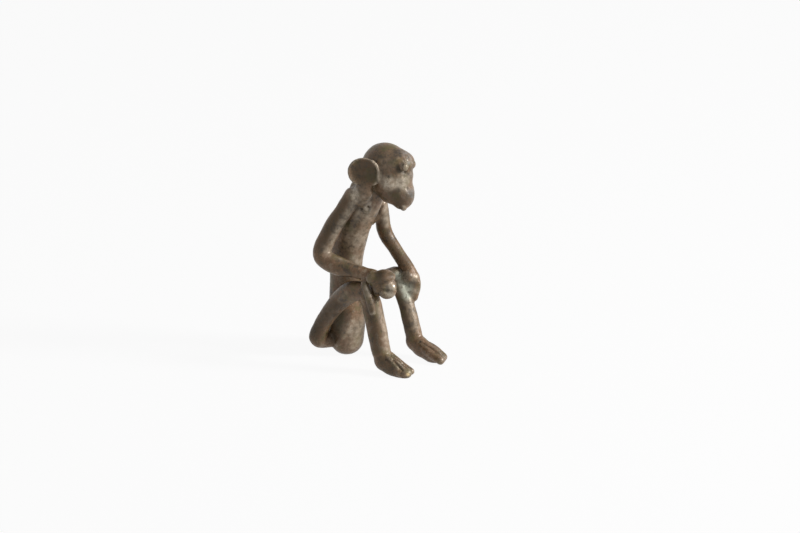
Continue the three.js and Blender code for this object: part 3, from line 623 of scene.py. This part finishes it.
patchEdge = 2.5
patches = {
    # on the left knee and shin, and on the toes of the near foot
    "verdigris": [
        (7.2, -12.9, 23.6, 1.5, 1.2), (7.9, -14.8, 19.9, 1.8, 1.4), (7.7, -15.4, 18.2, 1.4, 1.3),
        (5.6, -10.8, 24.6, 1.6, 0.7), (8.9, -28.2, 2.8, 1.0, 0.4), (7.0, -13.8, 21.6, 1.4, 0.9)],
    # bare brass on a toe of the near foot, with a painted glint
    "brassSpot": [(-8.7, -28.7, 1.4, 0.5, 1.0)],
    # painted light: paler, more metallic bronze where the lamp falls, with painted highlights
    "rubbed": [
        # side of the muzzle, cheek, brow over the near eye, side of the neck and temple
        (-2.3, -21.7, 55.0, 2.3, 1.5), (-3.9, -20.2, 54.9, 1.8, 1.6), (-5.3, -18.7, 54.9, 2.0, 1.6),
        (-2.6, -22.9, 60.0, 1.1, 1.0), (-6.4, -11.0, 50.4, 3.0, 0.9), (-4.9, -17.6, 60.4, 2.6, 0.35),
        # shoulder, elbow, chest, belly and rump
        (-7.2, -9.4, 50.5, 2.2, 2.2), (-10.7, -2.3, 33.8, 2.0, 1.0), (-3.2, -8.8, 43.4, 3.6, 0.8),
        (-2.0, -5.2, 35.5, 4.4, 0.8), (-1.6, -4.6, 28.0, 3.6, 0.8), (-2.1, -4.4, 8.2, 3.5, 0.9),
        (-1.6, -4.4, 4.4, 3.2, 0.7),
        # both nipples and the lip
        (-5.0, -11.2, 46.2, 0.9, 1.6), (-3.7, -10.8, 46.8, 0.9, 1.5), (3.5, -10.9, 45.4, 1.0, 0.5),
        (-1.9, -21.9, 47.8, 0.6, 1.0),
        # fist and left hand
        (-8.7, -22.6, 26.1, 1.3, 1.7), (-8.9, -22.4, 23.8, 1.2, 1.5), (9.7, -16.8, 23.1, 1.1, 1.0),
        (10.2, -17.2, 19.2, 1.0, 0.7),
        # front rim of the near ear, inner side of the near arm and top of its forearm
        *strip([(-5.9, -14.4, 61.0), (-6.8, -15.8, 60.1), (-6.3, -16.5, 57.8), (-5.9, -16.2, 55.6)],
               0.8, 1.0),
        *strip([(-7.8, -8.3, 47.6), (-9.3, -5.9, 42.2), (-10.6, -3.4, 36.7), (-10.7, -2.3, 33.6)], 1.2, 0.9),
        *strip([(-10.9, -4.6, 31.8), (-9.8, -8.4, 30.9), (-8.6, -12.1, 30.2)], 0.7, 0.7),
        # thumb, left arm, ridge of the near thigh and both shins
        *strip([(-11.2, -16.0, 25.6), (-11.7, -17.1, 23.4)], 0.8, 1.1),
        *strip([(6.4, -9.0, 44.4), (7.0, -8.4, 41.0), (7.8, -8.2, 38.0)], 1.2, 0.9),
        *strip([(-11.1, -8.8, 22.4), (-10.9, -5.6, 19.4)], 0.6, 0.4),
        *strip([(-8.5, -18.8, 18.0), (-8.2, -20.4, 12.8), (-8.8, -21.4, 8.2)], 1.4, 0.6),
        *strip([(8.0, -16.4, 16.4), (7.8, -17.4, 13.6), (8.0, -18.6, 9.6)], 1.7, 0.6)],
    # painted sheen, blue-grey: forehead, front of the muzzle, brow and bridge of the nose
    "sheen": [
        (0.4, -21.5, 62.4, 2.4, 0.9), (-0.5, -23.3, 51.5, 2.2, 0.4), (-0.6, -22.8, 60.8, 1.2, 0.6),
        (1.5, -22.6, 50.8, 2.6, 0.8), (1.2, -21.7, 57.0, 1.8, 0.7), (1.6, -22.4, 60.6, 1.6, 0.7)],
    # painted shade: nearly black where the casting lies in shade, on sides turned from the lamp, under forms
    # and beside pellets
    "sooted": [
        # ear dish, lower muzzle, and its edge
        (-8.4, -12.9, 57.6, 4.6, 0.5), (-2.8, -21.9, 49.8, 2.0, 0.6), (-3.0, -20.4, 48.8, 2.0, 0.7),
        *strip([(-3.8, -18.5, 51.2), (-3.3, -20.9, 50.0), (-2.4, -22.3, 50.0)], 2.4, 0.55),
        (-0.5, -23.3, 51.4, 1.8, 0.9),
        # the near nostril, the pit below the temple and the corner left of the lip
        (-1.3, -22.6, 53.3, 0.5, 1.0), (-4.9, -18.8, 56.8, 0.55, 0.9), (-2.4, -20.6, 47.2, 0.7, 0.9),
        # back of the fist, its notch, the left palm, and the groove round the near nipple
        (-9.8, -19.6, 29.6, 2.3, 0.95), (-8.0, -22.1, 29.3, 1.5, 0.8), (7.7, -15.6, 24.0, 1.4, 0.8),
        *strip([(-5.3, -9.5, 45.8), (-5.0, -9.6, 44.8), (-4.5, -10.2, 44.0)], 0.75, 1.3),
        # under the forearm, in the crook of the thigh and on the thigh
        (-4.0, -2.8, 26.4, 3.6, 0.75), (-9.3, -2.9, 14.1, 2.2, 0.85), (-10.2, 0.4, 13.0, 3.4, 0.85),
        (-9.6, 5.0, 8.0, 3.8, 0.85), (-3.3, -3.6, 23.6, 2.8, 0.8), (-9.6, -5.6, 16.6, 0.5, 0.9),
        # outer side of the near foot, and the inner side of the far limbs
        (-10.8, -21.4, 4.2, 2.0, 0.6), (-10.5, -23.6, 2.2, 2.2, 0.6), (9.7, -13.2, 28.4, 1.9, 0.6),
        (7.0, -17.0, 6.0, 1.6, 0.5),
        # the crescent left of and below the near eye, and the crook behind the rump's edge
        *strip([(-3.4, -20.8, 60.0), (-3.3, -21.0, 58.8), (-1.9, -22.0, 57.9)], 0.7, 1.0),
        *strip([(-4.9, -1.2, 13.0), (-5.0, -0.4, 9.4), (-4.9, 1.2, 5.0)], 1.9, 0.75),
        # the outer side of the near thigh, arm and shin
        *strip([(-10.6, -4.6, 17.4), (-10.4, -1.2, 15.4), (-9.9, 2.6, 11.4), (-9.6, 5.4, 7.6)], 2.6, 0.85),
        *strip([(-9.1, -6.3, 48.0), (-10.6, -4.4, 43.6), (-11.7, -2.8, 39.8), (-12.8, -0.7, 35.0)],
               2.0, 0.65),
        *strip([(-10.9, -17.2, 19.0), (-11.2, -18.4, 14.4), (-11.2, -19.8, 8.0)], 1.9, 0.7),
        # between the left fingers, below the thumb, the far armpit, and the dark sides of the far
        # arm and the far shin
        *strip([(9.4, -16.1, 21.6), (9.6, -16.3, 18.6)], 0.8, 0.8),
        *strip([(-11.9, -18.2, 21.2), (-11.9, -18.8, 18.6)], 1.0, 0.7),
        *strip([(5.2, -7.4, 44.0), (5.0, -7.2, 42.0), (4.8, -7.0, 40.2)], 1.0, 0.9),
        *strip([(6.8, -7.4, 39.8), (7.4, -8.2, 35.8), (8.4, -10.6, 31.6), (9.2, -12.6, 28.2)], 1.6, 0.65),
        *strip([(6.5, -13.8, 17.0), (6.4, -15.2, 13.0), (6.4, -16.6, 9.0)], 1.5, 0.6)],
}


def soften(values, passes):
    a, b = skin.edges[:, 0], skin.edges[:, 1]
    for _ in range(passes):
        total = np.bincount(a, values[b], len(values)) + np.bincount(b, values[a], len(values))
        values = (values + total / skin.neighbours) / 2
    return values


# Ridges and hollows as the skin shows them over so many passes. They begin at the first value and
# are full after the next one, per millimetre of curvature.
bends = {"ridge": {"sign": 1, "passes": 20, "from": 0.55, "over": 0.9},
         "hollow": {"sign": -1, "passes": 60, "from": 0.05, "over": 0.5}}
surface = {}
for name, bend in bends.items():
    share = (bend["sign"] * skin.bend(bend["passes"]) - bend["from"]) / bend["over"]
    surface[name] = soften(np.clip(share, 0, 1), 3)
for name, spots in patches.items():
    surface[name] = patch(spots, patchEdge)


# The skin is parted again along the seams, one closed piece for each wax form.

def nearestForm():
    best = np.full(len(skin.places), np.inf)
    owner = np.zeros(len(skin.places), int)
    for index, (verts, faces) in enumerate(waxForms.values()):
        low, high = verts.min(axis=0) - casting["formMargin"], verts.max(axis=0) + casting["formMargin"]
        near = np.nonzero(np.all((skin.places > low) & (skin.places < high), axis=1))[0]
        tree = BVHTree.FromPolygons(verts.tolist(), faces)
        for i in near:
            found, normal, _, _ = tree.find_nearest(Vector(skin.places[i]))
            gap = (Vector(skin.places[i]) - found).dot(normal)
            if gap < best[i]:
                best[i], owner[i] = gap, index
    return owner


def close(work, inward):
    # a collar under the skin and a hidden cone close each edge loop where the piece meets its
    # neighbour. They lie inward, so that they don't show in the crease.
    openEdges = [e for e in work.edges if e.is_boundary]
    rim = {v for e in openEdges for v in e.verts}
    collar = {v: work.verts.new(v.co + inward[v.index]) for v in rim}
    while openEdges:
        loop, stack = [], [openEdges[0]]
        seen = {openEdges[0]}
        while stack:
            edge = stack.pop()
            loop.append(edge)
            for vert in edge.verts:
                for other in vert.link_edges:
                    if other.is_boundary and other not in seen:
                        seen.add(other)
                        stack.append(other)
        centre = sum((collar[v].co for e in loop for v in e.verts), Vector()) / (2 * len(loop))
        tip = work.verts.new(centre)
        made = []
        for edge in loop:
            first, second = edge.verts
            corner = [one for one in edge.link_faces[0].loops if one.edge == edge][0]
            if corner.vert == first:
                first, second = second, first
            made.append((first, second, collar[second], collar[first]))
            made.append((collar[first], collar[second], tip))
        for corners in made:
            work.faces.new(corners)
        openEdges = [e for e in openEdges if e not in seen]


owner = nearestForm()
faceOwner = np.array([np.bincount(owner[list(f)]).argmax() for f in skin.faces])
framePlaces = toFrame(skin.places)
pieces = {}
for index, nodeName in enumerate(waxForms):
    mine = skin.faces[faceOwner == index]
    if len(mine) == 0:
        raise SystemExit(f"no skin for {nodeName}")
    used, local = np.unique(mine, return_inverse=True)
    local = local.reshape(mine.shape)
    pieceName = "cast" + "".join(word.capitalize() for word in nodeName.split("_"))
    mesh = bpy.data.meshes.new(pieceName)
    mesh.from_pydata(framePlaces[used].tolist(), [], local.tolist())
    work = bmesh.new()
    work.from_mesh(mesh)
    work.verts.ensure_lookup_table()
    close(work, [Vector(-n * casting["collar"] * millimetre) for n in skin.normals[used]])
    work.to_mesh(mesh)
    work.free()
    mesh.shade_smooth()
    normals = [Vector(n) for n in skin.normals[used]]
    normals += [Vector((0, 0, 1))] * (len(mesh.vertices) - len(normals))
    mesh.normals_split_custom_set_from_vertices(normals)
    for name, values in surface.items():
        layer = mesh.attributes.new(name, "FLOAT", "POINT")
        hidden = np.zeros(len(mesh.vertices) - len(used))
        layer.data.foreach_set("value", np.concatenate([values[used], hidden]))
    piece = bpy.data.objects.new(pieceName, mesh)
    bpy.context.scene.collection.objects.link(piece)
    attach(piece, "root")
    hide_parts(nodeName)
    pieces[nodeName] = piece
print(f"parted into pieces: {len(pieces)}")


# Materials

def linear(hexColour):
    # an sRGB hex value as the linear colour that the shaders take
    channels = [int(hexColour[i:i + 2], 16) / 255 for i in (1, 3, 5)]
    return tuple(c / 12.92 if c <= 0.04045 else ((c + 0.055) / 1.055) ** 2.4 for c in channels) + (1.0,)


def addNode(tree, kind, inputs=None, **settings):
    # inputs are values, or (node, output) pairs to link from
    node = tree.nodes.new(kind)
    for name, value in settings.items():
        setattr(node, name, value)
    for key, value in (inputs or {}).items():
        socket = node.inputs[key]
        if isinstance(value, tuple) and isinstance(value[0], bpy.types.Node):
            tree.links.new(value[0].outputs[value[1]], socket)
        else:
            socket.default_value = value
    return node


# Bronze, cast from wax, with a brown patina: mostly a matt skin of oxides, umber to red-brown with
# olive clouds. It is worn to paler, more metallic bronze on the ridges, and nearly black in the
# hollows. Cloud sizes are in millimetres. A share is read off a noise: from, to, and what it gives there.

# Painted light, painted sheen and painted shade go over the patina in patches, where the lamp falls or
# doesn't reach.
patina = {
    "clouds": 5.5, "mottle": 1.3, "specks": 0.45, "pits": 0.9, "oliveClouds": 0.7,
    "blend": {"clouds": 0.42, "mottle": 0.38, "specks": 0.2},
    "ends": (("umber", 0.40), ("tan", 0.61)), "between": (("brown", 0.47), ("redBrown", 0.54)),
    "umber": "#3f3020", "brown": "#69543a", "redBrown": "#7a5c42", "tan": "#948069", "olive": "#60582e",
    "soot": "#2c220c", "worn": "#b3a693", "sheen": "#8c8f90", "verdigris": "#b2b3a2", "brass": "#ecd2a2",
    "oliveShare": (0.52, 0.66, 0.0, 0.6), "paintedShadeShare": (0.35, 0.6, 0.6, 0.95), "hollowShare": 0.65,
    "ridgeShare": (0.35, 0.6, 0.25, 0.7), "rubbedShare": (0.35, 0.65, 0.35, 0.85),
    "sheenShare": (0.4, 0.7, 0.2, 0.7), "greenShare": (0.34, 0.46, 0.4, 0.92),
    "roughness": 0.43, "paintedShadeRoughness": 0.25, "paleRoughness": 0.33,
    "speckRoughness": (0.3, 0.7, -0.13, 0.12), "metallic": 0.08, "paleMetallic": 0.3, "gloss": 0.45,
    "pitEdge": (0.08, 0.3), "pitDepth": 0.35, "reliefStrength": 0.5, "relief": 0.12,
}


def perMillimetre(size):
    # a noise scale in the metres that object coordinates are in
    return 1 / (size * millimetre)


def patinatedBronze():
    material = bpy.data.materials.new("patinatedLostWaxBronze")
    material.use_nodes = True
    tree = material.node_tree
    tree.nodes.clear()
    place = addNode(tree, "ShaderNodeTexCoord")

    def told(name):
        return (addNode(tree, "ShaderNodeAttribute", attribute_name=name), "Fac")

    def noiseOf(size, detail=3.0, shift=0.0, **inputs):
        shifted = {0: (place, "Object"), 1: (shift, shift, shift)}
        moved = addNode(tree, "ShaderNodeVectorMath", shifted, operation="ADD")
        settings = {"Vector": (moved, "Vector"), "Scale": perMillimetre(size), "Detail": detail, **inputs}
        return (addNode(tree, "ShaderNodeTexNoise", settings), "Fac")

    def ranged(value, low, high, toLow=0.0, toHigh=1.0):
        inputs = {"Value": value, "From Min": low, "From Max": high, "To Min": toLow, "To Max": toHigh}
        return (addNode(tree, "ShaderNodeMapRange", inputs, interpolation_type="SMOOTHSTEP"), "Result")

    def reckoned(operation, *values):
        return (addNode(tree, "ShaderNodeMath", dict(enumerate(values)), operation=operation), "Value")

    def tinted(under, hexColour, share):
        # the mix node's colour sockets: 6 and 7 are mixed, and 2 is what comes out
        node = tree.nodes.new("ShaderNodeMix")
        node.data_type = "RGBA"
        tree.links.new(share[0].outputs[share[1]], node.inputs[0])
        tree.links.new(under[0].outputs[under[1]], node.inputs[6])
        node.inputs[7].default_value = linear(hexColour)
        return (node, 2)

    clouds = noiseOf(patina["clouds"], 4.0)
    mottle = noiseOf(patina["mottle"], 5.0, shift=0.013)
    specks = noiseOf(patina["specks"], 2.0, shift=0.041)
    blend = patina["blend"]
    blended = reckoned("ADD", reckoned("MULTIPLY", clouds, blend["clouds"]),
                       reckoned("MULTIPLY", mottle, blend["mottle"]))
    blended = reckoned("MULTIPLY_ADD", specks, blend["specks"], blended)
    tone = addNode(tree, "ShaderNodeValToRGB", {"Fac": blended})
    ramp = tone.color_ramp
    for element, (name, position) in zip(ramp.elements, patina["ends"]):
        element.position, element.color = position, linear(patina[name])
    for name, position in patina["between"]:
        ramp.elements.new(position).color = linear(patina[name])
    oliveClouds = noiseOf(patina["clouds"] * patina["oliveClouds"], 4.0, shift=0.027)
    colour = tinted((tone, "Color"), patina["olive"], ranged(oliveClouds, *patina["oliveShare"]))
    # painted shade, broken up by the mottle, and made rougher so that it holds no highlight
    dark = reckoned("MULTIPLY", told("sooted"), ranged(mottle, *patina["paintedShadeShare"]))
    colour = tinted(colour, patina["soot"], dark)
    colour = tinted(colour, patina["soot"], reckoned("MULTIPLY", told("hollow"), patina["hollowShare"]))
    wear = reckoned("MULTIPLY", told("ridge"), ranged(specks, *patina["ridgeShare"]))
    # painted light, in the same pale, more metallic bronze as the real wear on the ridges
    rubbed = reckoned("MULTIPLY", told("rubbed"), ranged(mottle, *patina["rubbedShare"]))
    worn = reckoned("MAXIMUM", wear, rubbed)
    colour = tinted(colour, patina["worn"], worn)
    # painted sheen, blue-grey
    sheen = reckoned("MULTIPLY", told("sheen"), ranged(mottle, *patina["sheenShare"]))
    colour = tinted(colour, patina["sheen"], sheen)
    green = reckoned("MULTIPLY", told("verdigris"), ranged(mottle, *patina["greenShare"]))
    colour = tinted(colour, patina["verdigris"], green)
    # bare brass at the toe, with a painted glint
    bright = told("brassSpot")
    colour = tinted(colour, patina["brass"], bright)

    paleMetal = reckoned("MAXIMUM", worn, bright)
    metallic = ranged(paleMetal, 0.0, 1.0, patina["metallic"], patina["paleMetallic"])
    rough = ranged(paleMetal, 0.0, 1.0, patina["roughness"], patina["paleRoughness"])
    rough = reckoned("MULTIPLY_ADD", dark, patina["paintedShadeRoughness"], rough)
    rough = reckoned("ADD", rough, ranged(specks, *patina["speckRoughness"]))
    # casting pits and the fine drag of fingers over the wax
    cells = {"Vector": (place, "Object"), "Scale": perMillimetre(patina["pits"])}
    pits = addNode(tree, "ShaderNodeTexVoronoi", cells)
    pitted = ranged((pits, "Distance"), *patina["pitEdge"])
    relief = reckoned("ADD", reckoned("MULTIPLY", pitted, patina["pitDepth"]), specks)
    bump = addNode(tree, "ShaderNodeBump", {"Height": relief, "Strength": patina["reliefStrength"],
                                            "Distance": patina["relief"] * millimetre})
    inputs = {"Base Color": colour, "Roughness": rough, "Metallic": metallic,
              "Specular IOR Level": patina["gloss"], "Normal": (bump, "Normal")}
    shader = addNode(tree, "ShaderNodeBsdfPrincipled", inputs)
    addNode(tree, "ShaderNodeOutputMaterial", {"Surface": (shader, "BSDF")})
    return material


bronze = patinatedBronze()
for piece in pieces.values():
    piece.data.materials.append(bronze)


# Floor, lights and camera. The camera sees the floor and the world nearly white, and the casting
# gets only a little light from them.

studio = {"radius": 6.0, "sides": 96, "white": 0.93, "pale": (0.86, 0.86, 0.86, 1), "lightShare": 0.12}


def seenByCamera(tree):
    rays = addNode(tree, "ShaderNodeLightPath")
    kinds = {0: (rays, "Is Camera Ray"), 1: (rays, "Is Glossy Ray")}
    return (addNode(tree, "ShaderNodeMath", kinds, operation="MAXIMUM"), "Value")


def whiteShownToCamera():
    material = bpy.data.materials.new("paleStudioFloor")
    material.use_nodes = True
    tree = material.node_tree
    tree.nodes.clear()
    shares = {0: seenByCamera(tree), 1: studio["white"]}
    share = addNode(tree, "ShaderNodeMath", shares, operation="MULTIPLY")
    pale = addNode(tree, "ShaderNodeBsdfDiffuse", {"Color": studio["pale"]})
    white = addNode(tree, "ShaderNodeEmission", {"Color": (1, 1, 1, 1), "Strength": 1.0})
    sides = {0: (share, "Value"), 1: (pale, "BSDF"), 2: (white, "Emission")}
    mix = addNode(tree, "ShaderNodeMixShader", sides)
    addNode(tree, "ShaderNodeOutputMaterial", {"Surface": (mix, "Shader")})
    return material


def studioFloor():
    mesh = bpy.data.meshes.new("studioFloor")
    sides, radius = studio["sides"], studio["radius"]
    turns = [2 * math.pi * k / sides for k in range(sides)]
    ring = [(radius * math.cos(turn), radius * math.sin(turn), 0) for turn in turns]
    mesh.from_pydata(ring, [], [tuple(range(sides))])
    floor = bpy.data.objects.new("studioFloor", mesh)
    bpy.context.scene.collection.objects.link(floor)
    mesh.materials.append(whiteShownToCamera())


def studioWorld():
    world = bpy.data.worlds.new("studioWorld")
    bpy.context.scene.world = world
    world.use_nodes = True
    tree = world.node_tree
    tree.nodes.clear()
    inputs = {"Value": seenByCamera(tree), "To Min": studio["lightShare"], "To Max": 1.0}
    strength = addNode(tree, "ShaderNodeMapRange", inputs)
    back = addNode(tree, "ShaderNodeBackground", {"Color": (1, 1, 1, 1), "Strength": (strength, "Result")})
    addNode(tree, "ShaderNodeOutputWorld", {"Surface": (back, "Background")})


view = {"azimuth": -52, "elevation": 17, "distance": 1.5, "pixelsPerMillimetre": 3.53, "imageWidth": 800,
        "sensor": 36.0, "right": 15.0, "up": 24.6, "towards": 15.0}


def viewAxes():
    a, e = math.radians(view["azimuth"]), math.radians(view["elevation"])
    right = np.array([math.cos(a), math.sin(a), 0])
    towards = np.array([math.sin(a) * math.cos(e), -math.cos(a) * math.cos(e), math.sin(e)])
    return right, np.cross(towards, right), towards


right, up, towards = viewAxes()
aim = toFrame(right * view["right"] + up * view["up"] + towards * view["towards"])


def look(thing, position, target):
    thing.location = position
    thing.rotation_euler = (Vector(target) - Vector(position)).to_track_quat("-Z", "Y").to_euler()


def photoCamera():
    data = bpy.data.cameras.new("photoCamera")
    data.sensor_width = view["sensor"]
    pixels = view["pixelsPerMillimetre"] * view["distance"] / millimetre
    data.lens = pixels * view["sensor"] / view["imageWidth"]
    camera = bpy.data.objects.new("photoCamera", data)
    bpy.context.scene.collection.objects.link(camera)
    look(camera, aim + towards * view["distance"], aim)
    bpy.context.scene.camera = camera


lamps = {"key": {"at": (0.83, 0.32, 0.27), "size": 0.24, "power": 9.4},
         "fill": {"at": (0.05, 0.70, 0.45), "size": 0.6, "power": 0.8}}


def studioLamps():
    for name, lamp in lamps.items():
        data = bpy.data.lights.new(name + "Lamp", "AREA")
        data.shape = "DISK"
        data.size = lamp["size"]
        data.energy = lamp["power"]
        thing = bpy.data.objects.new(name + "Lamp", data)
        bpy.context.scene.collection.objects.link(thing)
        sideways, upward, forward = lamp["at"]
        look(thing, aim + right * sideways + up * upward + towards * forward, aim)


studioFloor()
studioWorld()
photoCamera()
studioLamps()
bpy.context.scene.view_settings.view_transform = "Standard"
print("studio set")
